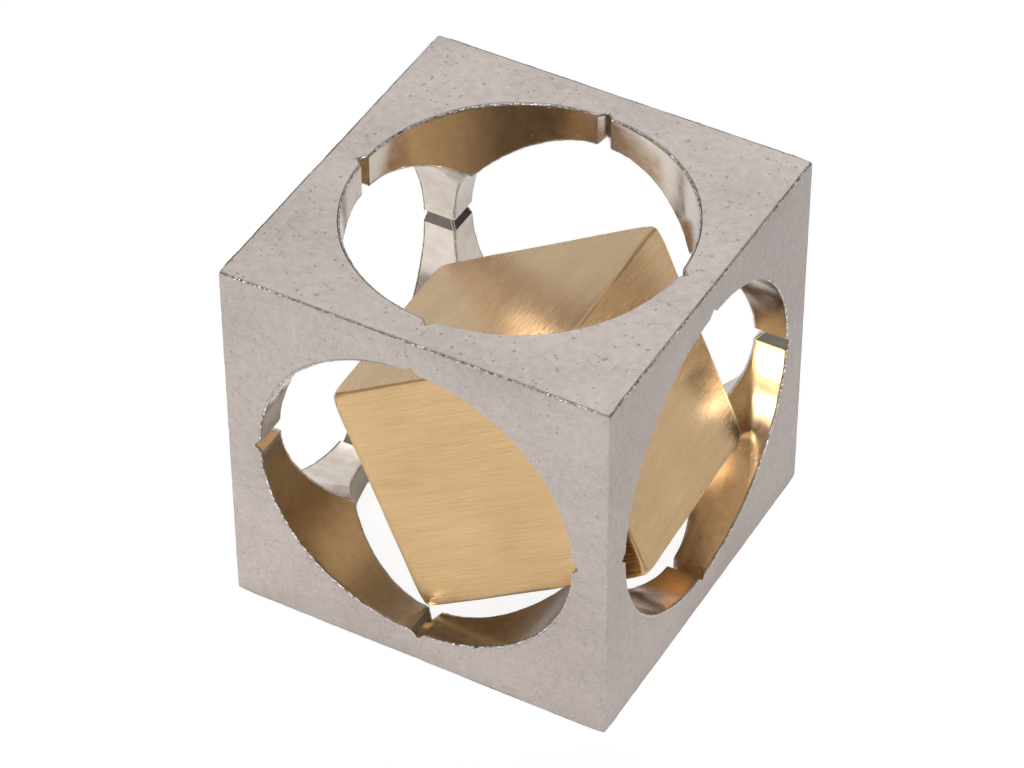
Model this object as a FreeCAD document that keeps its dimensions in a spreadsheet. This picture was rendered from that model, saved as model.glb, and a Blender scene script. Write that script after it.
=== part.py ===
"""Turner's cube: a hollow plated cube with a loose brass block held inside it.

Millimetres, +Z up.  The origin is the centre of the outer cube's bottom face.
The outer cube is bored right through along X, Y and Z.  Every bore also has a
square cut, turned 45 degrees, whose four corners stand just proud of the round
wall as V grooves.  The brass block can only leave through a bore when the
corners of its smaller cross-section run in those grooves.
"""
import os

import FreeCAD, Part
import Sketcher

# Driving dimensions, written into the spreadsheet of the document.
DIMENSIONS = {
    "cube_side": 40.0,        # outer cube, along every edge
    "cube_edge_round": 0.25,  # radius along the outer cube's twelve outer edges
    "bore_radius": 16.4,      # round part of each bore
    "groove_reach": 17.1,     # bore axis to the bottom of each V groove
    "block_length": 25.5,     # brass block, longest side
    "block_width": 24.5,      # brass block, middle side
    "block_height": 23.5,     # brass block, shortest side
    "block_edge_round": 0.5,  # radius along the brass block's twelve edges
    "block_x": 3.0,           # centre of the brass block as it lies inside
    "block_y": -1.35,
    "block_z": 17.6,
    "block_yaw": 96.1,        # degrees about Z, then about the turned Y, then X
    "block_pitch": 8.8,
    "block_roll": -27.0,
}

STEP_FOLDER = "parts"

# Sketch plane of each bore, and the height of the bore's axis in that sketch.
BORE_PLANES = {
    "vertical": ("XY_Plane", None),
    "front_to_back": ("XZ_Plane", "dims.cube_side / 2"),
    "side_to_side": ("YZ_Plane", "dims.cube_side / 2"),
}


def add_sheet(document):
    """Write the driving dimensions into a spreadsheet, one alias per row."""
    sheet = document.addObject("Spreadsheet::Sheet", "dims")
    for row, (alias, value) in enumerate(DIMENSIONS.items(), start=1):
        sheet.set(f"A{row}", alias)
        sheet.set(f"B{row}", str(value))
        sheet.setAlias(f"B{row}", alias)
    return sheet


def add_body(document, label):
    """Add a PartDesign body that carries the sub-part's name."""
    body = document.addObject("PartDesign::Body", label)
    body.Label = label
    return body


def add_sketch(body, name, plane_role):
    """Add an empty sketch on one of the body's own origin planes."""
    sketch = body.newObject("Sketcher::SketchObject", name)
    plane = next(item for item in body.Origin.OriginFeatures if item.Role == plane_role)
    sketch.AttachmentSupport = [(plane, "")]
    sketch.MapMode = "FlatFace"
    return sketch


def close_polygon(sketch, corners):
    """Draw a closed polygon and tie each corner to the next line's start."""
    for start, end in zip(corners, corners[1:] + corners[:1]):
        sketch.addGeometry(Part.LineSegment(start, end))
    count = len(corners)
    for line in range(count):
        sketch.addConstraint(Sketcher.Constraint("Coincident", line, 2, (line + 1) % count, 1))


def bind(sketch, constraint, expression):
    """Drive one sketch constraint from the spreadsheet."""
    sketch.setExpression(f"Constraints[{constraint}]", expression)


def draw_rectangle(sketch, width_alias, depth_alias):
    """Draw a rectangle centred on the sketch's origin."""
    x = DIMENSIONS[width_alias] / 2
    y = DIMENSIONS[depth_alias] / 2
    close_polygon(sketch, [
        FreeCAD.Vector(-x, -y, 0),
        FreeCAD.Vector(x, -y, 0),
        FreeCAD.Vector(x, y, 0),
        FreeCAD.Vector(-x, y, 0),
    ])
    for line in (0, 2):
        sketch.addConstraint(Sketcher.Constraint("Horizontal", line))
    for line in (1, 3):
        sketch.addConstraint(Sketcher.Constraint("Vertical", line))
    sketch.addConstraint(Sketcher.Constraint("Symmetric", 0, 1, 1, 2, -1, 1))
    width = sketch.addConstraint(Sketcher.Constraint("DistanceX", 0, 1, 0, 2, 2 * x))
    depth = sketch.addConstraint(Sketcher.Constraint("DistanceY", 1, 1, 1, 2, 2 * y))
    bind(sketch, width, f"dims.{width_alias}")
    bind(sketch, depth, f"dims.{depth_alias}")


def draw_bore_circle(sketch, axis_height):
    """Draw the round part of a bore, its centre on the sketch's vertical axis."""
    height = DIMENSIONS["cube_side"] / 2 if axis_height else 0.0
    centre = FreeCAD.Vector(0, height, 0)
    normal = FreeCAD.Vector(0, 0, 1)
    sketch.addGeometry(Part.Circle(centre, normal, DIMENSIONS["bore_radius"]))
    radius = sketch.addConstraint(Sketcher.Constraint("Radius", 0, DIMENSIONS["bore_radius"]))
    bind(sketch, radius, "dims.bore_radius")
    place_centre(sketch, 0, 3, axis_height)


def draw_groove_square(sketch, axis_height):
    """Draw the square that stands on its corner and cuts the four V grooves."""
    height = DIMENSIONS["cube_side"] / 2 if axis_height else 0.0
    reach = DIMENSIONS["groove_reach"]
    close_polygon(sketch, [
        FreeCAD.Vector(0, height - reach, 0),
        FreeCAD.Vector(reach, height, 0),
        FreeCAD.Vector(0, height + reach, 0),
        FreeCAD.Vector(-reach, height, 0),
    ])
    sketch.addConstraint(Sketcher.Constraint("Vertical", 0, 1, 2, 1))
    sketch.addConstraint(Sketcher.Constraint("Horizontal", 3, 1, 1, 1))
    sketch.addConstraint(Sketcher.Constraint("Equal", 0, 1))
    upright = sketch.addConstraint(Sketcher.Constraint("DistanceY", 0, 1, 2, 1, 2 * reach))
    across = sketch.addConstraint(Sketcher.Constraint("DistanceX", 3, 1, 1, 1, 2 * reach))
    bind(sketch, upright, "2 * dims.groove_reach")
    bind(sketch, across, "2 * dims.groove_reach")
    sketch.addConstraint(Sketcher.Constraint("PointOnObject", 0, 1, -2))
    rise = "-dims.groove_reach"
    if axis_height:
        rise = f"{axis_height} - dims.groove_reach"
    bottom = sketch.addConstraint(Sketcher.Constraint("DistanceY", -1, 1, 0, 1, height - reach))
    bind(sketch, bottom, rise)


def place_centre(sketch, geometry, point, axis_height):
    """Fix a centre point on the sketch's origin, or above it by axis_height."""
    if axis_height is None:
        sketch.addConstraint(Sketcher.Constraint("Coincident", geometry, point, -1, 1))
        return
    sketch.addConstraint(Sketcher.Constraint("PointOnObject", geometry, point, -2))
    half = DIMENSIONS["cube_side"] / 2
    height = sketch.addConstraint(Sketcher.Constraint("DistanceY", -1, 1, geometry, point, half))
    bind(sketch, height, axis_height)


def cut_right_through(body, sketch, name):
    """Pocket the sketch through the whole body, both ways from its plane."""
    pocket = body.newObject("PartDesign::Pocket", name)
    pocket.Profile = sketch
    pocket.Type = "ThroughAll"
    pocket.Midplane = True
    return pocket


def long_edges(shape, shortest):
    """Name the straight edges that are at least as long as shortest."""
    names = []
    for number, edge in enumerate(shape.Edges, start=1):
        if edge.Curve.TypeId == "Part::GeomLine" and edge.Length > shortest:
            names.append(f"Edge{number}")
    return names


def round_edges(body, base, shortest, radius_alias):
    """Round the long straight edges of the base feature."""
    body.Document.recompute()
    rounding = body.newObject("PartDesign::Fillet", f"{body.Label}_edges")
    rounding.Base = (base, long_edges(base.Shape, shortest))
    rounding.setExpression("Radius", f"dims.{radius_alias}")
    return rounding


def build_outer_cube(document):
    """Hollow cube: one solid block, three round bores and their V grooves."""
    body = add_body(document, "outer_cube")
    square = add_sketch(body, "cube_outline", "XY_Plane")
    draw_rectangle(square, "cube_side", "cube_side")
    blank = body.newObject("PartDesign::Pad", "cube_blank")
    blank.Profile = square
    blank.setExpression("Length", "dims.cube_side")
    rounded = round_edges(body, blank, DIMENSIONS["cube_side"] / 2, "cube_edge_round")
    document.recompute()
    blank_volume = rounded.Shape.Volume
    for name, (plane, axis_height) in BORE_PLANES.items():
        circle = add_sketch(body, f"{name}_circle", plane)
        draw_bore_circle(circle, axis_height)
        cut_right_through(body, circle, f"{name}_bore")
        corners = add_sketch(body, f"{name}_square", plane)
        draw_groove_square(corners, axis_height)
        cut_right_through(body, corners, f"{name}_grooves")
        document.recompute()
        if body.Shape.Volume >= blank_volume:
            raise RuntimeError(f"{name} bore removed nothing")
        blank_volume = body.Shape.Volume
    return body


def build_inner_block(document):
    """Loose brass block, rounded on all its edges, lying askew in the cube."""
    body = add_body(document, "inner_block")
    outline = add_sketch(body, "block_outline", "XY_Plane")
    draw_rectangle(outline, "block_length", "block_width")
    blank = body.newObject("PartDesign::Pad", "block_blank")
    blank.Profile = outline
    blank.Midplane = True
    blank.setExpression("Length", "dims.block_height")
    round_edges(body, blank, DIMENSIONS["block_height"] / 2, "block_edge_round")
    turn = FreeCAD.Rotation(
        DIMENSIONS["block_yaw"], DIMENSIONS["block_pitch"], DIMENSIONS["block_roll"]
    )
    centre = FreeCAD.Vector(
        DIMENSIONS["block_x"], DIMENSIONS["block_y"], DIMENSIONS["block_z"]
    )
    body.Placement = FreeCAD.Placement(centre, turn)
    for axis in ("x", "y", "z"):
        body.setExpression(f".Placement.Base.{axis}", f"dims.block_{axis}")
    return body


def check(document):
    """Stop if any feature failed or any sub-part is not one valid solid."""
    for item in document.Objects:
        if "Invalid" in item.State or "Error" in item.State:
            raise RuntimeError(f"{item.Label} did not rebuild: {item.State}")
    for body in document.findObjects("PartDesign::Body"):
        shape = body.Shape
        if shape.isNull() or not shape.isValid() or len(shape.Solids) != 1:
            raise RuntimeError(f"{body.Label} is not one valid solid")


def main():
    document = FreeCAD.newDocument("turners_cube")
    add_sheet(document)
    document.recompute()
    outer = build_outer_cube(document)
    inner = build_inner_block(document)
    document.recompute()
    check(document)
    os.makedirs(STEP_FOLDER, exist_ok=True)
    for body in (outer, inner):
        body.Shape.exportStep(f"{STEP_FOLDER}/{body.Label}.step")
        box = body.Shape.BoundBox
        print(body.Label, f"{body.Shape.Volume:.1f} mm3", box)
    overlap = outer.Shape.common(inner.Shape).Volume
    gap = outer.Shape.distToShape(inner.Shape)[0]
    print(f"overlap {overlap:.4f} mm3, gap {gap:.3f} mm")


main()
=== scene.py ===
"""Looks of a turner's cube: a nickel-plated cube, bored on three axes, round a brass block.

The outer cube and the block are dense meshes laid over the CAD solids, so that the
burred edges, the tool-cut grooves and the hand-eased corners are real geometry.
Lengths inside the mesh builders are millimetres; vertices are scaled to metres last.
"""

import math

import bpy
import numpy as np
from mathutils import Matrix, Vector
from mathutils.bvhtree import BVHTree


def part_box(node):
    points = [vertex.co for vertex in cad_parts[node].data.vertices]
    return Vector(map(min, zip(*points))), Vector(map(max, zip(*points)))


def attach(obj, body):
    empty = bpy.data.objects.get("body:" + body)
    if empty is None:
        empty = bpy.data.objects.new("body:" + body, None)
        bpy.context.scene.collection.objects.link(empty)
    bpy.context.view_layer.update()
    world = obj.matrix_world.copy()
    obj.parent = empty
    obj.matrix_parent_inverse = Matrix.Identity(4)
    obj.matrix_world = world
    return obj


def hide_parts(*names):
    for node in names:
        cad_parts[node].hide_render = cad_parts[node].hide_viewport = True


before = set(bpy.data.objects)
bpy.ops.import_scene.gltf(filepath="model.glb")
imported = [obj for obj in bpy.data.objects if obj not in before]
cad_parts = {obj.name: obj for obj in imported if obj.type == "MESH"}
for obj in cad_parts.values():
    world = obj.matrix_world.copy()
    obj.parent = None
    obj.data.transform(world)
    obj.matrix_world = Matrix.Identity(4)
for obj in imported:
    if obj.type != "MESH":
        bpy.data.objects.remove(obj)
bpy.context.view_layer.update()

MM = 0.001

# Sizes shared with the CAD model, in millimetres.
BORE_RADIUS = 16.4
GROOVE_REACH = 17.1
BLOCK_SIZE = (25.5, 24.5, 23.5)
BLOCK_EDGE_ROUND = 0.5
BLOCK_TURN = (96.1, 8.8, -27.0)      # degrees about Z, then the turned Y, then X

# Where two roundings nearly coincide, divisions stop at these.
TINY = 1e-9
LEAST_SPREAD = 0.3

# Where the grids have points, in millimetres from the sharp edge beside them.
RIM_STEPS = (0.0, 0.05, 0.11, 0.19, 0.30, 0.50, 0.80)
WALL_RIM_STEPS = RIM_STEPS[:6]
CUBE_EDGE_STEPS = (0.0, 0.07, 0.14, 0.21, 0.29, 0.40, 0.62)
CROSSING_STEPS = (0.0, 0.05, 0.12, 0.25, 0.45)
BLOCK_EDGE_STEPS = (0.0, 0.05, 0.10, 0.16, 0.23, 0.31, 0.40, 0.52, 0.70, 0.95)

# How many even steps lie between those points, and round each quarter of a bore.
FACE_MIDDLE_STEPS = 6
WALL_MIDDLE_STEPS = 10
GROOVE_STEPS = 5
ARC_STEPS = 80
BLOCK_MIDDLE_POINTS = 88
BLOCK_MIDDLE_FROM = 1.2              # millimetres in from the block's edges

WELD_KEYS_PER_MM = 1e5
SHARP_FROM = 32                      # degrees between faces that stay a sharp edge
WALL_KIND = 1                        # material number of the bore walls

# Noises in the meshes: wavelength in millimetres, then seed.
EDGE_ROUND_NOISE = (2.0, 11)
BURR_PATCH_NOISE = (4.0, 12)
RIM_ROUND_NOISE = (0.9, 13)
FINE_RAG_NOISE = (0.45, 21)
COARSE_RAG_NOISE = (0.9, 22)
NICK_NOISE = (0.7, 23)
HAND_ROUND_NOISE = (3.0, 31)
DENT_NOISE = (1.3, 32)
WAVE_NOISE = (7.0, 33)

# Roundings of the outer cube, in millimetres: its outer edges, then the rims of its bores.
EDGE_ROUND = 0.15
EDGE_ROUND_VARIES = 0.04
UPRIGHT_ROUND = 0.15                 # added up the four upright edges
UPRIGHT_REACH = 1.6                  # how far from an upright edge that goes
RIM_ROUND = 0.15
RIM_ROUND_VARIES = 0.08
CROSSING_ROUND = 0.7                 # share of the rim's rounding where two bores cross

# How far the rims nearest the front top corner are dressed smooth.
CUBE_EDGE_WIDTH = 0.5                # the cube's own edges stay as cut, in millimetres
DRESSED_START = 1.9
DRESSED_FADE = 16.0                  # millimetres
DRESSED_MOST = 0.9
DRESSED_ROUND = 0.35                 # share of the rounding that a dressed rim keeps

# Burrs and nicks along the outer cube's sharp edges, in millimetres.
BURR_SHARE = 0.75
BURR_VARIES = 0.5
UPRIGHT_DRESSED = 0.88
BURR_WIDTH = 0.17
BURR_HEIGHT = 0.060
BURR_SINK = 0.020
FINE_RAG = 0.6
COARSE_RAG = 0.4
NICK_FROM = 0.55                     # a nick starts where its noise is above this
NICK_WIDTH = 0.25
NICK_DEPTH = 0.22

# The block, in millimetres: hand-eased edges, blunted corners, dents and a slight wave.
BRUSHED_ALONG = (1, 0, 0)            # for the faces across axis 0, 1 and 2
UV_SPACING = 60.0                    # keeps the brushing of the six faces apart
HAND_ROUND = 0.24
HAND_ROUND_VARIES = 0.06
BLUNT_ROUND = 0.42
BLUNT_REACH = 1.1
MEETING_WIDTH = 0.6                  # edge band that keeps the CAD's rounding near the cube
MEETING_REACH = 0.8
DENT_WIDTH = 0.3
DENT_FROM = 0.6
DENT_DEPTH = 0.25
WAVE_HEIGHT = 0.010
BLOCK_SINK = 0.012

# The camera, fitted to the photograph: millimetres and degrees, and the clipping in metres.
CAMERA_TARGET = (-0.488, -0.680, 19.608)
CAMERA_DISTANCE = 402.05
CAMERA_AZIMUTH = 29.184
CAMERA_ELEVATION = 42.192
CAMERA_ROLL = -0.178
CAMERA_LENS = 149.84
CLIP_START = 0.01


# ---------------------------------------------------------------- noise
CELL_PRIMES = (73856093, 19349663, 83492791)
SEED_PRIME = 2654435761
HASH_ROUNDS = ((15, 2246822519), (13, 3266489917))
LOW_32_BITS = 0xFFFFFFFF
LOW_24_BITS = 0xFFFFFF


def lattice_value(cell, seed):
    """A repeatable number from 0 to 1 for each integer cell of a lattice."""
    mixed = np.bitwise_xor.reduce(cell.astype(np.int64) * CELL_PRIMES, axis=-1)
    mixed = (mixed + seed * SEED_PRIME) & LOW_32_BITS
    for shift, prime in HASH_ROUNDS:
        mixed = (mixed ^ (mixed >> shift)) * prime & LOW_32_BITS
    return ((mixed ^ (mixed >> 16)) & LOW_24_BITS) / float(LOW_24_BITS)


def value_noise(points, wavelength, seed):
    """Smooth noise from -1 to 1 at each point."""
    scaled = points / wavelength
    base = np.floor(scaled)
    part = scaled - base
    part = part * part * (3.0 - 2.0 * part)
    total = np.zeros(len(points))
    for corner in np.ndindex(2, 2, 2):
        offset = np.array(corner)
        weight = np.prod(np.where(offset, part, 1.0 - part), axis=1)
        total += weight * lattice_value(base + offset, seed)
    return total * 2.0 - 1.0


# ---------------------------------------------------------------- outer cube
def bore_wall(lateral):
    """Distance from a bore's axis to its wall, for a point this far to one side."""
    round_part = np.sqrt(np.maximum(BORE_RADIUS**2 - lateral**2, 0.0))
    return np.maximum(round_part, GROOVE_REACH - np.abs(lateral))


def quadrant_samples(groove_steps, arc_steps):
    """Side offsets across one quarter of a bore, closer together in the V groove."""
    root = math.sqrt(2 * BORE_RADIUS**2 - GROOVE_REACH**2)
    groove_half = (GROOVE_REACH - root) / 2
    groove = np.linspace(0.0, groove_half, groove_steps + 1)
    start = math.asin(groove_half / BORE_RADIUS)
    arc = BORE_RADIUS * np.sin(np.linspace(start, math.pi / 4, arc_steps + 1))
    half = np.concatenate([groove, arc[1:]])
    return np.concatenate([-half[:0:-1], half])


def graded(first, last, near_start, near_end, middle_steps):
    """Stations from first to last: given offsets at both ends, even steps between."""
    low = np.array(near_start)[None, :] + first[:, None]
    high = last[:, None] - np.array(near_end)[None, ::-1]
    blend = np.linspace(0, 1, middle_steps + 1)[1:-1]
    middle = low[:, -1:] * (1 - blend) + high[:, :1] * blend
    return np.concatenate([low, middle, high], axis=1)


def face_grid(half_side, lateral, wall_at):
    """A quarter of the flat face round its bore, with each point's distance to an edge."""
    outline = np.full_like(wall_at, half_side)
    across = graded(wall_at, outline, RIM_STEPS, CUBE_EDGE_STEPS, FACE_MIDDLE_STEPS)
    share = (across - wall_at[:, None]) / (half_side - wall_at[:, None])
    edge_lateral = half_side * lateral / wall_at
    side = lateral[:, None] * (1 - share) + edge_lateral[:, None] * share
    grid = np.stack([across, side, np.full_like(across, half_side)], axis=-1)
    return grid, np.minimum(across - wall_at[:, None], half_side - across)


def wall_grid(half_side, lateral, wall_at):
    """A quarter of the bore's wall, from its rim in to where the bores cross."""
    rim = -np.full_like(wall_at, half_side)
    down = graded(rim, -wall_at, WALL_RIM_STEPS, CROSSING_STEPS, WALL_MIDDLE_STEPS)
    grid = np.stack([
        np.broadcast_to(wall_at[:, None], down.shape),
        np.broadcast_to(lateral[:, None], down.shape),
        -down,
    ], axis=-1)
    return grid, np.minimum(down + half_side, -wall_at[:, None] - down)


def all_round(grid, near):
    """Repeat a quarter's grid four times round the bore, and close the ring."""
    turned = []
    for c, s in ((1, 0), (0, 1), (-1, 0), (0, -1)):
        turn = np.array([[c, -s, 0], [s, c, 0], [0, 0, 1]], float)
        turned.append(grid @ turn.T)
    joined = np.concatenate(turned, axis=0)
    nearness = np.concatenate([near] * 4, axis=0)
    return np.concatenate([joined, joined[:1]]), np.concatenate([nearness, nearness[:1]])


def window_grid(half_side):
    """One face of the cube as two grids: the flat face round its bore, and the bore's wall.

    Each grid is (around, along, xyz) for the +Z face, with the distance from the
    nearest sharp edge beside it.  The last column round repeats the first.
    """
    lateral = quadrant_samples(GROOVE_STEPS, ARC_STEPS)[:-1]
    wall_at = bore_wall(lateral)
    return [all_round(*build(half_side, lateral, wall_at)) for build in (face_grid, wall_grid)]


def grid_faces(count_around, count_along, start):
    """Quads of a grid whose points are stored row by row from index start."""
    i, j = np.meshgrid(np.arange(count_around - 1), np.arange(count_along - 1), indexing="ij")
    a = start + i * count_along + j
    return np.stack([a, a + 1, a + count_along + 1, a + count_along], axis=-1).reshape(-1, 4)


def cube_turns():
    """Turns that carry the +Z face onto each of the six faces."""
    x, y, z = np.eye(3)
    bases = [(x, y, z), (y, x, -z), (y, z, x), (z, y, -x), (z, x, y), (x, z, -y)]
    return [np.stack(base, axis=1) for base in bases]


def wall_uv(grid):
    """UVs of a bore's wall: the way round it, then the way along it."""
    angle = np.unwrap(np.arctan2(grid[:, 0, 1], grid[:, 0, 0]))
    way_round = np.broadcast_to((angle * BORE_RADIUS)[:, None], grid.shape[:2])
    return np.stack([way_round, grid[..., 2]], axis=-1)


def outer_cube_arrays(half_side):
    """Points, quads, sharp-edge distance, UVs and material numbers of the outer cube."""
    points, quads, nearness, uvs, kinds = [], [], [], [], []
    start = 0
    for turn in cube_turns():
        for kind, (grid, near) in enumerate(window_grid(half_side)):
            around, along = near.shape
            faces = grid_faces(around, along, start)
            uv = grid[..., :2]
            if kind == WALL_KIND:
                faces = faces[:, ::-1]
                uv = wall_uv(grid)
            points.append((grid @ turn.T).reshape(-1, 3))
            quads.append(faces)
            nearness.append(near.ravel())
            uvs.append(uv.reshape(-1, 2))
            kinds.append(np.full(len(faces), kind))
            start += around * along
    return [np.concatenate(part) for part in (points, quads, nearness, uvs, kinds)]


def weld(points):
    """Merge points in the same place: the kept points, and where each old one went."""
    keys = np.round(points * WELD_KEYS_PER_MM).astype(np.int64)
    _, first, where = np.unique(keys, axis=0, return_index=True, return_inverse=True)
    return points[first], where.ravel()


def round_cube_edges(points, half, radius):
    """Bend points of a box's skin that lie near its edges onto rounded edges."""
    inner = half - radius[:, None]
    beyond = np.abs(points) > inner
    core = np.clip(points, -inner, inner)
    out = points - core
    reach = np.linalg.norm(out, axis=1)
    reach[reach == 0] = 1.0
    rounded = core + out / reach[:, None] * radius[:, None]
    return np.where((beyond.sum(axis=1) >= 2)[:, None], rounded, points)


def face_depth(points, axis, half_side):
    """Depth under the cube's nearest face across one axis, and the way further in."""
    inward = np.zeros_like(points)
    inward[:, axis] = -np.sign(points[:, axis])
    return half_side - np.abs(points[:, axis]), inward


def bore_depth(points, axis):
    """Depth behind the wall of the bore along one axis, and the way further in."""
    sideways = points.copy()
    sideways[:, axis] = 0.0
    radial = np.linalg.norm(sideways, axis=1)
    round_depth = radial - BORE_RADIUS
    square_depth = (np.abs(sideways).sum(axis=1) - GROOVE_REACH) / math.sqrt(2)
    away = sideways / radial[:, None]
    slanted = np.sign(sideways) / math.sqrt(2)
    nearer_round = round_depth < square_depth
    inward = np.where(nearer_round[:, None], away, slanted)
    return np.minimum(round_depth, square_depth), inward


def ease_edge(points, first, second, radius):
    """Bend points near the line where two surfaces meet onto a rounding."""
    (depth_a, inward_a), (depth_b, inward_b) = first, second
    near = (np.abs(depth_a) < radius) & (np.abs(depth_b) < radius)
    to_a, to_b = depth_a - radius, depth_b - radius
    reach = np.maximum(np.hypot(to_a, to_b), TINY)
    change_a = to_a * (radius / reach - 1)
    change_b = to_b * (radius / reach - 1)
    lean = np.sum(inward_a * inward_b, axis=1)
    spread = np.maximum(1 - lean**2, LEAST_SPREAD)
    move_a = (change_a - lean * change_b) / spread
    move_b = (change_b - lean * change_a) / spread
    moved = points + inward_a * move_a[:, None] + inward_b * move_b[:, None]
    return np.where(near[:, None], moved, points)


def undressed(points, half_side):
    """1 where rims and edges are as cut, near 0 on the rims dressed round one corner."""
    corner = np.array([half_side, -half_side, half_side])
    away = np.linalg.norm(points - corner, axis=1)
    to_cube_edge = half_side - np.sort(np.abs(points), axis=1)[:, 1]
    on_rim = np.clip(to_cube_edge - CUBE_EDGE_WIDTH, 0, 1)
    return 1 - on_rim * np.clip(DRESSED_START - away / DRESSED_FADE, 0, DRESSED_MOST)


def ease_bores(points, half_side):
    """Ease the rims where the bores open, and the lines where they cross."""
    rim_radius = RIM_ROUND + RIM_ROUND_VARIES * value_noise(points, *RIM_ROUND_NOISE)
    rim_radius *= DRESSED_ROUND + (1 - DRESSED_ROUND) * undressed(points, half_side)
    for axis in range(3):
        rim = face_depth(points, axis, half_side), bore_depth(points, axis)
        points = ease_edge(points, *rim, rim_radius)
    for axis in range(3):
        crossing = bore_depth(points, axis), bore_depth(points, (axis + 1) % 3)
        points = ease_edge(points, *crossing, rim_radius * CROSSING_ROUND)
    return points


def build_mesh(name, points, quads, near, uvs, kinds):
    """A mesh from welded quads, with UVs, material numbers and edge nearness."""
    points, where = weld(points)
    nearness = np.full(len(points), np.inf)
    np.minimum.at(nearness, where, near)
    corners = quads.ravel()
    mesh = bpy.data.meshes.new(name)
    mesh.vertices.add(len(points))
    mesh.vertices.foreach_set("co", points.ravel())
    mesh.loops.add(len(corners))
    mesh.loops.foreach_set("vertex_index", where[corners].astype(np.int32))
    mesh.polygons.add(len(quads))
    mesh.polygons.foreach_set("loop_start", np.arange(0, len(corners), 4, dtype=np.int32))
    mesh.polygons.foreach_set("material_index", kinds.astype(np.int32))
    mesh.update(calc_edges=True)
    layer = mesh.uv_layers.new(name="surface")
    layer.uv.foreach_set("vector", uvs[corners].astype(np.float32).ravel())
    add_number(mesh, "edge_distance", nearness)
    return mesh, points, nearness


def add_number(mesh, name, values):
    """Store one number for each vertex, for the materials to read."""
    layer = mesh.attributes.new(name, "FLOAT", "POINT")
    layer.data.foreach_set("value", values.astype(np.float32))


def normals_of(mesh):
    """The mesh's vertex normals, one row for each."""
    flat = np.empty(len(mesh.vertices) * 3, np.float32)
    mesh.vertex_normals.foreach_get("vector", flat)
    return flat.reshape(-1, 3).astype(float)


def set_points(mesh, points):
    """Move the mesh's vertices to new places."""
    mesh.vertices.foreach_set("co", points.astype(np.float32).ravel())
    mesh.update()


def place(mesh, pose):
    """Carry a mesh built about the origin in millimetres to its place in metres."""
    mesh.transform(pose)
    mesh.set_sharp_from_angle(angle=math.radians(SHARP_FROM))
    mesh.validate()


def middle_of(node):
    """The middle of a node's box, in millimetres."""
    low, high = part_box(node)
    return [(low[k] + high[k]) / 2 / MM for k in range(3)]


def pose_of(node, turn):
    """The transform from millimetres about a node's middle to its place in metres."""
    return Matrix.Translation(Vector(middle_of(node)) * MM) @ turn @ Matrix.Scale(MM, 4)


def add_piece(mesh, name, body, node, materials):
    """Make an object of the mesh that stands for a CAD node and rides on its body."""
    piece = bpy.data.objects.new(name, mesh)
    bpy.context.scene.collection.objects.link(piece)
    for material in materials:
        mesh.materials.append(material)
    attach(piece, body)
    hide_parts(node)
    return piece


def burr_strength(points, half_side, upright):
    """How torn the metal is: in patches, and hardly at all up the four upright edges."""
    patchy = np.clip(BURR_SHARE + BURR_VARIES * value_noise(points, *BURR_PATCH_NOISE), 0, 1)
    return (1.0 - UPRIGHT_DRESSED * upright) * patchy * undressed(points, half_side)


def torn_shift(points, near, burred):
    """How far out each point near a sharp edge stands in a burr, or back in a nick."""
    fine = value_noise(points, *FINE_RAG_NOISE)
    coarse = value_noise(points, *COARSE_RAG_NOISE)
    ragged = FINE_RAG * fine + COARSE_RAG * coarse
    nick = np.maximum(value_noise(points, *NICK_NOISE) - NICK_FROM, 0.0)
    at_burr = np.exp(-(near / BURR_WIDTH) ** 2)
    at_nick = np.exp(-(near / NICK_WIDTH) ** 2)
    shift = at_burr * (BURR_HEIGHT * ragged - BURR_SINK) - at_nick * nick * NICK_DEPTH
    return shift * burred


def make_outer_cube(materials):
    """The bored cube, with worn edges, raised burrs and small nicks along every rim."""
    low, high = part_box("outer_cube")
    half_side = (high[0] - low[0]) / MM / 2
    mesh, points, near = build_mesh("outer_cube_skin", *outer_cube_arrays(half_side))
    to_upright = half_side - np.min(np.abs(points[:, :2]), axis=1)
    upright = np.clip(UPRIGHT_REACH - to_upright, 0, 1)
    burred = burr_strength(points, half_side, upright)
    add_number(mesh, "burr", burred)
    radius = EDGE_ROUND + UPRIGHT_ROUND * upright
    radius += EDGE_ROUND_VARIES * value_noise(points, *EDGE_ROUND_NOISE)
    points = ease_bores(round_cube_edges(points, half_side, radius), half_side)
    set_points(mesh, points)
    points = points + normals_of(mesh) * torn_shift(points, near, burred)[:, None]
    set_points(mesh, np.clip(points, -half_side, half_side))
    place(mesh, pose_of("outer_cube", Matrix.Identity(4)))
    return add_piece(mesh, "bored_cube", "outer", "outer_cube", materials)


# ---------------------------------------------------------------- inner block
def stations(half):
    """Cut positions along one side of the block, close together near its two edges."""
    steps = np.array(BLOCK_EDGE_STEPS)
    inside = half - BLOCK_MIDDLE_FROM
    middle = np.linspace(-inside, inside, BLOCK_MIDDLE_POINTS)
    return np.concatenate([-half + steps, middle, (half - steps)[::-1]])


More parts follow.
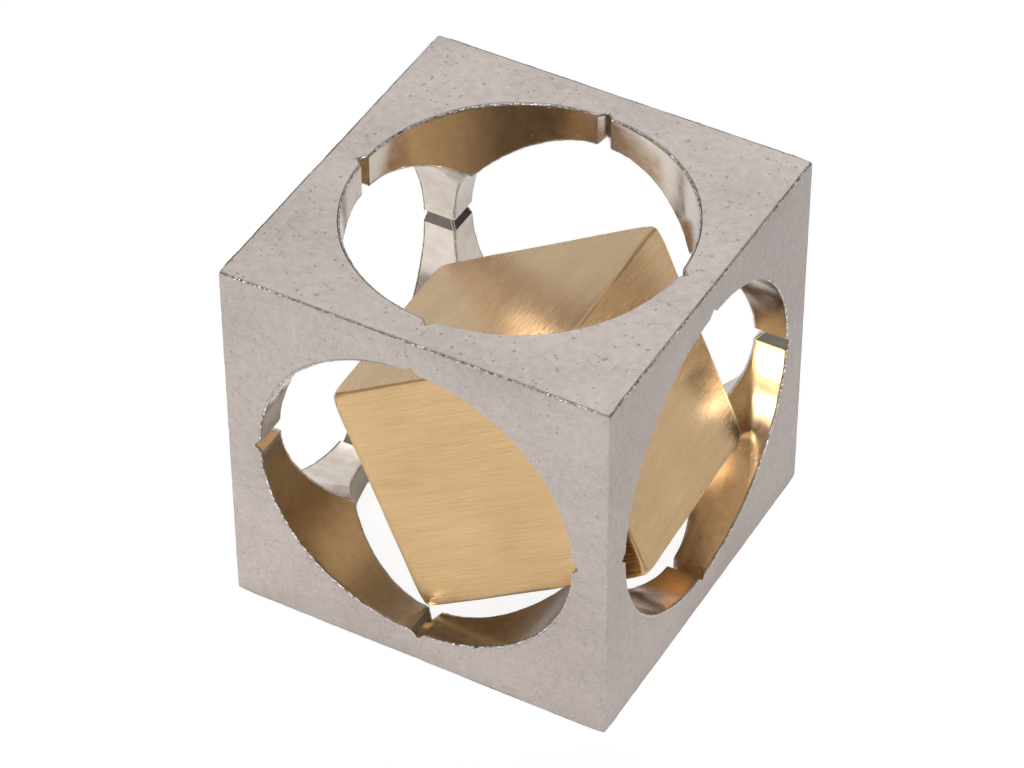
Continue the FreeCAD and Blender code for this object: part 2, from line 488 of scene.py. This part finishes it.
def block_arrays(half):
    """Points, quads, edge distance, UVs (U along the brushing) and face numbers."""
    cuts = [stations(h) for h in half]
    points, quads, nearness, uvs, kinds = [], [], [], [], []
    start = 0
    for axis in range(3):
        along = BRUSHED_ALONG[axis]
        across = 3 - axis - along
        for sign in (-1, 1):
            a, b = np.meshgrid(cuts[along], cuts[across], indexing="ij")
            grid = np.empty(a.shape + (3,))
            grid[..., along] = a
            grid[..., across] = b
            grid[..., axis] = sign * half[axis]
            faces = grid_faces(a.shape[0], a.shape[1], start)
            outward = np.cross(np.eye(3)[along], np.eye(3)[across])[axis] * sign
            if outward > 0:
                faces = faces[:, ::-1]
            near = np.minimum(half[along] - np.abs(a), half[across] - np.abs(b))
            shift = UV_SPACING * (2 * axis + (sign > 0))
            points.append(grid.reshape(-1, 3))
            quads.append(faces)
            nearness.append(near.ravel())
            uvs.append(np.stack([a + shift, b], axis=-1).reshape(-1, 2))
            kinds.append(np.zeros(len(faces)))
            start += a.size
    return [np.concatenate(part) for part in (points, quads, nearness, uvs, kinds)]


def distance_to(piece, points, pose):
    """Millimetres from each point, carried to its place by pose, to a piece's surface."""
    corners = [vertex.co for vertex in piece.data.vertices]
    faces = [face.vertices for face in piece.data.polygons]
    tree = BVHTree.FromPolygons(corners, faces)
    return np.array([tree.find_nearest(pose @ Vector(point))[3] for point in points]) / MM


def block_turn():
    """The block's turn as it lies in the cube."""
    yaw, pitch, roll = (math.radians(angle) for angle in BLOCK_TURN)
    return (Matrix.Rotation(yaw, 4, "Z") @ Matrix.Rotation(pitch, 4, "Y")
            @ Matrix.Rotation(roll, 4, "X"))


def eased_radius(points, near, half, outer, pose):
    """The block's rounding: blunter at its corners, and the CAD's where it meets the cube."""
    to_corner = np.linalg.norm(half - np.abs(points), axis=1)
    blunted = BLUNT_ROUND * np.exp(-(to_corner / BLUNT_REACH) ** 2)
    radius = HAND_ROUND + HAND_ROUND_VARIES * value_noise(points, *HAND_ROUND_NOISE) + blunted
    at_edge = near < MEETING_WIDTH
    meeting = np.zeros(len(points))
    meeting[at_edge] = np.exp(-(distance_to(outer, points[at_edge], pose) / MEETING_REACH) ** 4)
    return radius + (BLOCK_EDGE_ROUND - radius) * meeting * (radius < BLOCK_EDGE_ROUND)


def make_block(material, outer):
    """The loose brass block, its edges eased by hand and its corners blunted."""
    half = np.array(BLOCK_SIZE) / 2
    pose = pose_of("inner_block", block_turn())
    mesh, points, near = build_mesh("inner_block_skin", *block_arrays(half))
    points = round_cube_edges(points, half, eased_radius(points, near, half, outer, pose))
    set_points(mesh, points)
    at_edge = np.exp(-(near / DENT_WIDTH) ** 2)
    dents = np.maximum(value_noise(points, *DENT_NOISE) - DENT_FROM, 0.0)
    wave = WAVE_HEIGHT * value_noise(points, *WAVE_NOISE)
    shift = wave * (1 - at_edge) - BLOCK_SINK - at_edge * dents * DENT_DEPTH
    set_points(mesh, points + normals_of(mesh) * shift[:, None])
    place(mesh, pose)
    add_piece(mesh, "brass_block", "inner", "inner_block", [material])


# ---------------------------------------------------------------- materials
SATIN_DARK = (0.43, 0.379, 0.352, 1)
SATIN_LIGHT = (0.57, 0.507, 0.474, 1)
BRIGHT_DARK = (0.62, 0.545, 0.475, 1)
BRIGHT_LIGHT = (0.73, 0.65, 0.58, 1)
PIT_COLOUR = (0.15, 0.125, 0.105, 1)
SPECK_COLOUR = (0.20, 0.14, 0.10, 1)
# Painted dark reflection laid in patches along the torn edges, and how much of it is mixed in.
PAINTED_DARK_EDGE = (0.10, 0.085, 0.075, 1)
PAINTED_DARK_EDGE_AMOUNT = 0.75
BARE_METAL = (0.95, 0.93, 0.90, 1)
RIM_ROUGHNESS = 0.25
BRASS_DARK = (0.54, 0.360, 0.178, 1)
BRASS_LIGHT = (0.65, 0.450, 0.240, 1)
STROKE_COLOUR = (0.42, 0.27, 0.12, 1)
PIT_FLOOR = 0.4                      # share of a pit's size that is its flat floor
SCRATCH_TURNS = (25, 100, 155)       # degrees
SCRATCH_DEPTH = 0.45                 # as a share of a pit's


class Nodes:
    """Short-hand for building one material's, or the world's, node tree."""

    def __init__(self, name, world=False):
        self.owner = bpy.data.worlds.new(name) if world else bpy.data.materials.new(name)
        self.owner.use_nodes = True
        self.tree = self.owner.node_tree
        self.tree.nodes.clear()
        kind = "World" if world else "Material"
        self.output = self.tree.nodes.new("ShaderNodeOutput" + kind)

    def add(self, kind, inputs=None, **settings):
        """A node of one kind: its inputs are constants or other nodes' sockets."""
        node = self.tree.nodes.new("ShaderNode" + kind)
        for key, value in settings.items():
            setattr(node, key, value)
        for key, value in (inputs or {}).items():
            if isinstance(value, bpy.types.NodeSocket):
                self.tree.links.new(value, node.inputs[key])
            else:
                node.inputs[key].default_value = value
        return node

    def math(self, operation, *values):
        return self.add("Math", dict(enumerate(values)), operation=operation).outputs[0]

    def weighted(self, *parts):
        """The sum of (value, weight) pairs."""
        total = None
        for value, weight in parts:
            share = self.math("MULTIPLY", value, weight)
            total = share if total is None else self.math("ADD", share, total)
        return total

    def band(self, value, low, high, to_low=0.0, to_high=1.0):
        """Remap value from low..high to to_low..to_high, held at both ends."""
        node = self.add("MapRange", {
            "Value": value, "From Min": low, "From Max": high,
            "To Min": to_low, "To Max": to_high,
        })
        return node.outputs[0]

    def mix(self, factor, first, second):
        """One colour faded into another.  A Mix node's colours are its inputs 6 and 7."""
        node = self.add("Mix", {0: factor, 6: first, 7: second}, data_type="RGBA")
        return node.outputs[2]

    def noise(self, vector, scale, detail=2.0, roughness=0.5, distortion=0.0):
        node = self.add("TexNoise", {
            "Vector": vector, "Scale": scale, "Detail": detail, "Roughness": roughness,
            "Distortion": distortion,
        })
        return node.outputs["Fac"]

    def grey(self, value):
        return self.add("CombineColor", {0: value, 1: value, 2: value}).outputs[0]

    def cells(self, vector, scale):
        return self.add("TexVoronoi", {"Vector": vector, "Scale": scale})

    def place_in_mm(self):
        """The point's own position on the object, in millimetres."""
        where = self.add("TexCoord").outputs["Object"]
        scaled = self.add("VectorMath", {0: where, "Scale": 1 / MM}, operation="SCALE")
        return scaled.outputs[0]

    def surface_uv(self, along, across, turn=0.0):
        """The surface's UV, in millimetres, turned by degrees, then squeezed by two factors."""
        uv = self.add("UVMap", uv_map="surface").outputs[0]
        rotation = (0, 0, math.radians(turn))
        turned = self.add("Mapping", {"Vector": uv, "Rotation": rotation}).outputs[0]
        scale = (along, across, 1.0)
        return self.add("Mapping", {"Vector": turned, "Scale": scale}).outputs[0]

    def bump(self, height, strength, distance, normal=None):
        inputs = {"Height": height, "Strength": strength, "Distance": distance}
        if normal is not None:
            inputs["Normal"] = normal
        return self.add("Bump", inputs).outputs[0]

    def edge_distance(self):
        """Millimetres to the nearest sharp edge."""
        return self.add("Attribute", attribute_name="edge_distance").outputs["Fac"]

    def metal(self, colour, roughness, normal, finish=None):
        """End the material in one metal shader."""
        shader = self.add("BsdfPrincipled", {
            "Base Color": colour, "Roughness": roughness, "Normal": normal, "Metallic": 1.0,
            **(finish or {}),
        })
        self.tree.links.new(shader.outputs[0], self.output.inputs[0])


def pits(nodes, where, scale, size, share):
    """Small round pits: 1 in a pit and 0 outside, in a given share of the cells."""
    spots = nodes.cells(where, scale)
    inside = nodes.band(spots.outputs["Distance"], size, size * PIT_FLOOR)
    chance = nodes.add("SeparateColor", {0: spots.outputs["Color"]}).outputs[0]
    chosen = nodes.math("GREATER_THAN", chance, 1.0 - share)
    return nodes.math("MULTIPLY", inside, chosen)


def broken_rim(nodes, where, colour, roughness, normal):
    """Torn metal along the sharp edges: faceted, bare and bright in spots, with a painted dark
    reflection in patches between them.
    """
    burr = nodes.add("Attribute", attribute_name="burr").outputs["Fac"]
    rim = nodes.math("MULTIPLY", nodes.band(nodes.edge_distance(), 0.24, 0.12), burr)
    facets = nodes.noise(where, scale=3.0, detail=1.0)
    dark_edge_patches = nodes.noise(where, scale=1.8, roughness=0.7)
    # Painted dark reflection: the rim's colour is darkened in patches along the sharp edges.
    painted_dark_edge = nodes.math("MULTIPLY", rim, nodes.band(dark_edge_patches, 0.46, 0.40))
    bare = nodes.math("MULTIPLY", rim, nodes.band(facets, 0.47, 0.58))
    colour = nodes.mix(nodes.math("MULTIPLY", painted_dark_edge, PAINTED_DARK_EDGE_AMOUNT), colour, PAINTED_DARK_EDGE)
    colour = nodes.mix(bare, colour, BARE_METAL)
    rim_roughness = nodes.math("MULTIPLY", rim, nodes.math("SUBTRACT", RIM_ROUGHNESS, roughness))
    roughness = nodes.math("ADD", roughness, rim_roughness)
    height = nodes.math("MULTIPLY", rim, facets)
    normal = nodes.bump(height, strength=1.0, distance=0.00035, normal=normal)
    return colour, roughness, normal


def satin_nickel():
    """Outside faces: warm grey satin plate, fine grain, pits, and broken bright edges."""
    nodes = Nodes("satin_nickel")
    where = nodes.place_in_mm()
    cloud = nodes.noise(where, scale=0.12)
    grain = nodes.noise(where, scale=3.6, detail=3.0, roughness=0.75)
    mottle = nodes.noise(where, scale=1.1, detail=3.0, roughness=0.65)
    pit = nodes.math("MAXIMUM", pits(nodes, where, scale=1.05, size=0.20, share=0.5),
                     pits(nodes, where, scale=2.6, size=0.28, share=0.10))
    for turn in SCRATCH_TURNS:
        streak = nodes.surface_uv(along=0.45, across=5.0, turn=turn)
        scratch = pits(nodes, streak, scale=1.0, size=0.42, share=0.010)
        pit = nodes.math("MAXIMUM", pit, nodes.math("MULTIPLY", scratch, SCRATCH_DEPTH))
    tone = nodes.weighted((grain, 0.48), (mottle, 0.36), (cloud, 0.25))
    colour = nodes.mix(nodes.band(tone, 0.44, 0.65), SATIN_DARK, SATIN_LIGHT)
    colour = nodes.mix(nodes.math("MULTIPLY", pit, 0.36), colour, PIT_COLOUR)
    height = nodes.math("SUBTRACT", nodes.math("MULTIPLY", grain, 0.8), pit)
    normal = nodes.bump(height, strength=0.5, distance=0.00005)
    roughness = nodes.band(grain, 0.3, 0.7, to_low=0.40, to_high=0.52)
    nodes.metal(*broken_rim(nodes, where, colour, roughness, normal))
    return nodes.owner


def bright_nickel():
    """Bore walls: bright plate over fine tool marks that run round the bore."""
    nodes = Nodes("bright_nickel")
    where = nodes.place_in_mm()
    rings = nodes.noise(nodes.surface_uv(along=0.03, across=6.0), scale=1.0, detail=3.0,
                        roughness=0.6)
    mottle = nodes.noise(where, scale=0.9, detail=3.0, roughness=0.6)
    speck = pits(nodes, where, scale=1.6, size=0.16, share=0.25)
    colour = nodes.mix(nodes.band(mottle, 0.3, 0.7), BRIGHT_DARK, BRIGHT_LIGHT)
    colour = nodes.mix(nodes.math("MULTIPLY", speck, 0.4), colour, SPECK_COLOUR)
    ripple = nodes.noise(where, scale=5.0, detail=3.0, roughness=0.7)
    patch = nodes.band(nodes.noise(where, scale=0.22, detail=1.0), 0.48, 0.62)
    chatter = nodes.math("MULTIPLY", ripple, patch)
    height = nodes.math("ADD", nodes.math("MULTIPLY", rings, 0.6),
                        nodes.math("MULTIPLY_ADD", speck, 3.0, chatter))
    normal = nodes.bump(height, strength=0.35, distance=0.00003)
    roughness = nodes.band(mottle, 0.3, 0.75, to_low=0.11, to_high=0.22)
    nodes.metal(*broken_rim(nodes, where, colour, roughness, normal))
    return nodes.owner


def brushed_brass():
    """The loose block: brass rubbed in one direction on each face."""
    nodes = Nodes("brushed_brass")
    where = nodes.place_in_mm()
    fine = nodes.noise(nodes.surface_uv(along=0.20, across=5.5), scale=1.0, detail=3.0,
                       roughness=0.7, distortion=0.25)
    hair = nodes.noise(nodes.surface_uv(along=0.10, across=12.0), scale=1.0, roughness=0.6)
    broad = nodes.noise(nodes.surface_uv(along=0.10, across=0.9), scale=1.0)
    cloud = nodes.noise(where, scale=0.12)
    tone = nodes.weighted((cloud, 0.30), (broad, 0.20), (fine, 0.50))
    colour = nodes.mix(nodes.band(tone, 0.38, 0.62), BRASS_DARK, BRASS_LIGHT)
    stroke = nodes.band(fine, 0.42, 0.32)
    colour = nodes.mix(nodes.math("MULTIPLY", stroke, 0.09), colour, STROKE_COLOUR)
    worn = nodes.band(nodes.edge_distance(), 0.6, 0.1)
    brushed = nodes.band(fine, 0.3, 0.7, to_low=0.22, to_high=0.30)
    roughness = nodes.math("ADD", brushed, nodes.math("MULTIPLY", worn, 0.15))
    height = nodes.weighted((fine, 1.0), (hair, 0.5), (broad, 0.5))
    normal = nodes.bump(height, strength=0.12, distance=0.00004)
    tangent = nodes.add("Tangent", direction_type="UV_MAP", uv_map="surface").outputs[0]
    finish = {"Anisotropic": 0.45, "Anisotropic Rotation": 0.25, "Tangent": tangent}
    nodes.metal(colour, roughness, normal, finish)
    return nodes.owner


def studio_floor():
    """White paper, shown as an even sheet.  Reflections see it dimmer, in the cube's shade."""
    nodes = Nodes("studio_floor")
    seen = nodes.add("LightPath").outputs["Is Camera Ray"]
    x, y = nodes.add("SeparateXYZ", {0: nodes.place_in_mm()}).outputs[:2]
    across = nodes.math("MAXIMUM", nodes.math("ABSOLUTE", x), nodes.math("ABSOLUTE", y))
    # Painted shade and light in the floor's glow as reflections see it: dim under the cube,
    # brighter in front and in a band round the cube's shade.
    beyond = nodes.band(across, *SHADE_EDGE)
    lit = nodes.band(nodes.math("ADD", x, y), -SHEET_FADE, SHEET_FADE,
                     FLOOR_GLOW_FRONT, FLOOR_GLOW_BACK)
    lit = nodes.math("MULTIPLY", lit, nodes.band(across, *NEAR_SHEET, NEAR_BOOST, 1.0))
    reflected = nodes.math("MULTIPLY_ADD", beyond, nodes.math("SUBTRACT", lit, FLOOR_GLOW_UNDER),
                           FLOOR_GLOW_UNDER)
    emission = nodes.mix(seen, nodes.grey(reflected), nodes.grey(FLOOR_GLOW_SEEN))
    colour = nodes.mix(seen, SHEET_REFLECTED, SHEET_SEEN)
    shader = nodes.add("BsdfPrincipled", {
        "Base Color": colour, "Roughness": 0.9,
        "Emission Color": emission, "Emission Strength": 1.0,
    })
    nodes.tree.links.new(shader.outputs[0], nodes.output.inputs[0])
    return nodes.owner


# ---------------------------------------------------------------- stage
AMBIENT = 0.04
# Azimuth, elevation and spread in degrees, then the brightness at the middle.
GLOWS = (
    (-157, 50, 14.3, 2.26),
    (-162, 8, 13.5, 0.88),
    (-126, 8, 13.5, 0.50),
    (-18, 8, 13.5, 0.27),
    (-18, 28, 13.5, 0.32),
    (112, 50, 14.3, 0.26),
    (0, 88, 15.9, 0.80),
    (-65, 20, 17.0, 0.35),
    (22, 24, 3.0, 56.0),
)
# A small bright light that counts only after two reflections, as on the block's upper side.
INNER_GLOW = (51, 11, 4.5, 125.0)
INNER_GLOW_DEPTH = 2.5
BACKDROP = 0.9
# Brightness of the floor: as shown, and as reflected from in front, behind and underneath.
FLOOR_GLOW_SEEN = 0.90
FLOOR_GLOW_FRONT = 0.50
FLOOR_GLOW_BACK = 0.26
FLOOR_GLOW_UNDER = 0.13
# The floor's colour to reflections and to the camera, and its bands in millimetres.
SHEET_REFLECTED = (0.8, 0.8, 0.8, 1)
SHEET_SEEN = (0.2, 0.2, 0.2, 1)
SHADE_EDGE = (17.0, 22.0)            # the cube's shade ends between these
NEAR_SHEET = (20.0, 50.0)            # and the brighter band round it between these
NEAR_BOOST = 1.2
SHEET_FADE = 40.0
FLOOR_REACH = 2.5                    # metres


def make_floor():
    """A flat sheet under the cube, out to FLOOR_REACH on all sides."""
    mesh = bpy.data.meshes.new("floor")
    outline = [(x * FLOOR_REACH, y * FLOOR_REACH, 0)
               for x, y in ((-1, -1), (1, -1), (1, 1), (-1, 1))]
    mesh.from_pydata(outline, [], [(0, 1, 2, 3)])
    mesh.materials.append(studio_floor())
    floor = bpy.data.objects.new("floor", mesh)
    bpy.context.scene.collection.objects.link(floor)


def direction(azimuth, elevation):
    """Unit vector out to an azimuth (0 in front, 90 to the right) and elevation."""
    a, e = math.radians(azimuth), math.radians(elevation)
    return Vector((math.sin(a) * math.cos(e), -math.cos(a) * math.cos(e), math.sin(e)))


def aim(obj, place, target, roll):
    """Stand an object at place with its -Z axis towards target."""
    back = (place - target).normalized()
    right = Vector((0, 0, 1)).cross(back).normalized()
    up = back.cross(right)
    turn = Matrix((right, up, back)).transposed().to_4x4()
    tilt = Matrix.Rotation(math.radians(roll), 4, "Z")
    obj.matrix_world = Matrix.Translation(place) @ turn @ tilt


def glow(nodes, outward, azimuth, elevation, spread, strength):
    """Brightness of a smooth glow about one direction, seen along outward."""
    towards = nodes.add("VectorMath", {0: outward, 1: direction(azimuth, elevation)},
                        operation="DOT_PRODUCT").outputs["Value"]
    sharpness = 1.0 / math.radians(spread) ** 2
    exponent = nodes.math("MULTIPLY_ADD", towards, sharpness, -sharpness)
    return nodes.math("MULTIPLY", nodes.math("EXPONENT", exponent), strength)


def set_world():
    """A dim studio with soft lights round it, each a smooth glow about one direction."""
    nodes = Nodes("studio_light", world=True)
    outward = nodes.add("TexCoord").outputs["Generated"]
    total = AMBIENT
    for light in GLOWS:
        total = nodes.math("ADD", total, glow(nodes, outward, *light))
    path = nodes.add("LightPath")
    inner = nodes.math("GREATER_THAN", path.outputs["Ray Depth"], INNER_GLOW_DEPTH)
    total = nodes.math("MULTIPLY_ADD", inner, glow(nodes, outward, *INNER_GLOW), total)
    shown = nodes.mix(path.outputs["Is Camera Ray"], nodes.grey(total), nodes.grey(BACKDROP))
    background = nodes.add("Background", {"Color": shown, "Strength": 1.0})
    nodes.tree.links.new(background.outputs[0], nodes.output.inputs[0])
    bpy.context.scene.world = nodes.owner


def make_camera():
    """The camera, where the photograph was taken from."""
    camera = bpy.data.cameras.new("camera")
    camera.lens = CAMERA_LENS
    camera.clip_start = CLIP_START
    viewer = bpy.data.objects.new("camera", camera)
    bpy.context.scene.collection.objects.link(viewer)
    target = Vector(CAMERA_TARGET) * MM
    away = direction(CAMERA_AZIMUTH, CAMERA_ELEVATION) * CAMERA_DISTANCE * MM
    aim(viewer, target + away, target, CAMERA_ROLL)
    bpy.context.scene.camera = viewer


def main():
    """Make both pieces and the stage round them."""
    outer = make_outer_cube([satin_nickel(), bright_nickel()])
    make_block(brushed_brass(), outer)
    make_floor()
    set_world()
    make_camera()
    bpy.context.scene.view_settings.view_transform = "Standard"


main()
